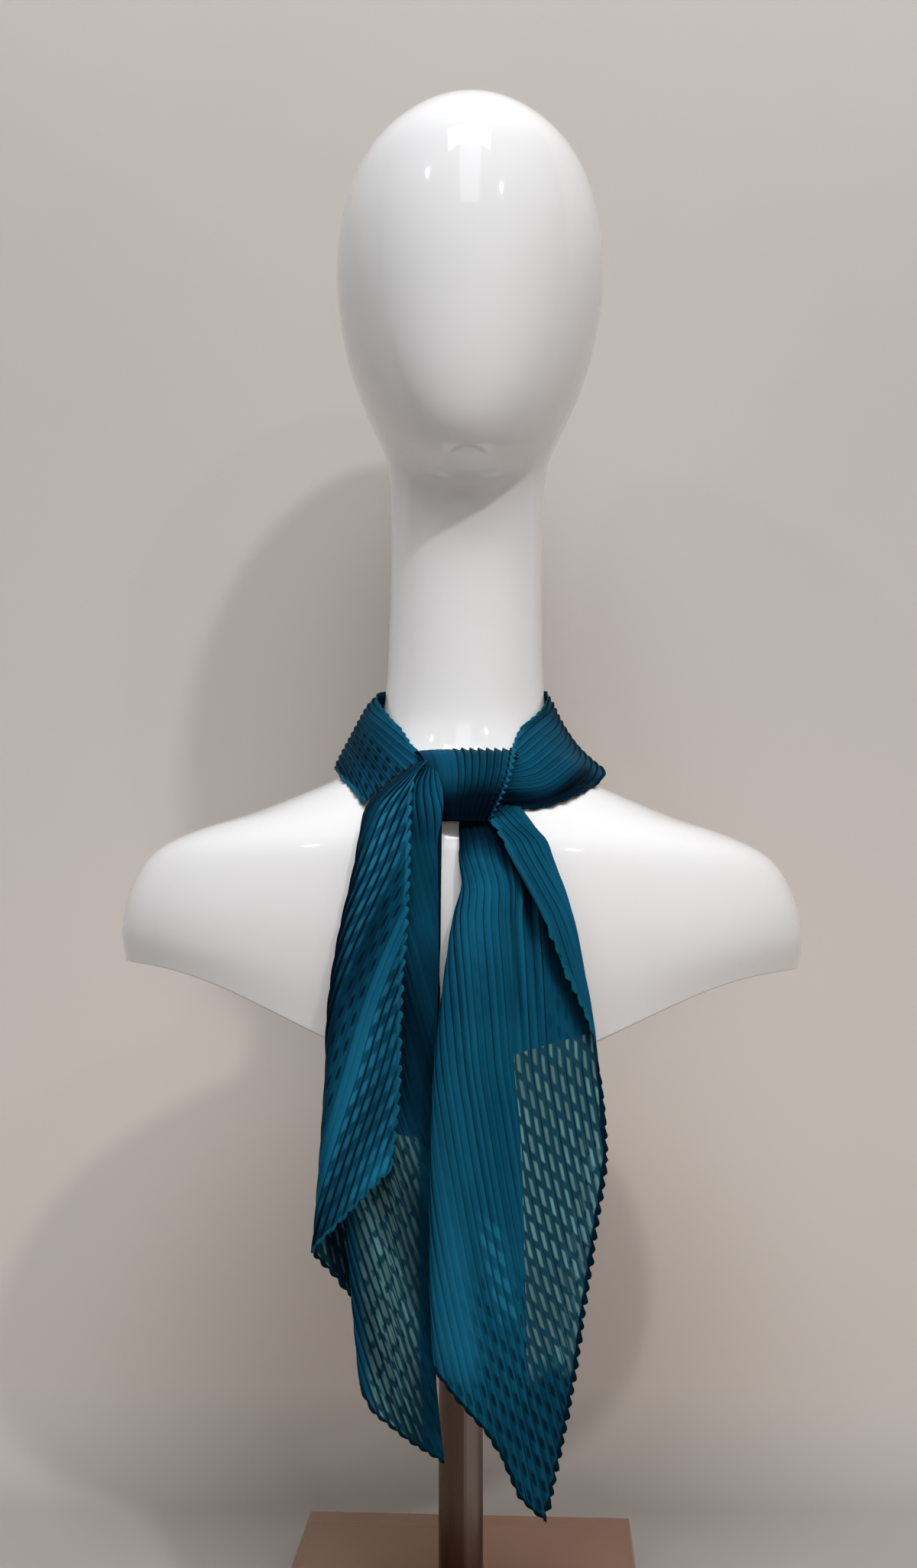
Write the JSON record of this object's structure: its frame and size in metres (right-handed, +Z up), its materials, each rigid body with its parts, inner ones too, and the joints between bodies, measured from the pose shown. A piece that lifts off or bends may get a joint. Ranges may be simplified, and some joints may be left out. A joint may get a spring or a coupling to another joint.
{
  "type": "pleated scarf on display bust",
  "caption": "Long pleated scarf half-knotted round the neck of a limbless glossy bust, on a steel pole in a square clear base plate.",
  "frame": {"origin": "centre of the base plate's underside, on the surface that the stand rests on", "axes": "+Z up along the pole, -Y towards the viewer the bust faces, +X to that viewer's right"},
  "size_m": [0.387, 0.2273, 0.8667],
  "materials": {
    "clear_acrylic": "clear cast acrylic with polished edges",
    "brushed_steel": "brushed along the pole",
    "white_gloss": "high gloss white lacquer",
    "teal_satin": "fine knife-pleated satin with a woven pattern of short sheer and opaque dashes"
  },
  "bodies": {
    "root": {"base_plate": "clear_acrylic", "pole": "brushed_steel", "bust": "white_gloss", "neck_wrap_left": "teal_satin", "neck_wrap_back": "teal_satin", "neck_wrap_right": "teal_satin", "knot_wrap": "teal_satin", "tail_left_outer": "teal_satin", "tail_left_inner": "teal_satin", "tail_right": "teal_satin"}
  },
  "joints": []
}
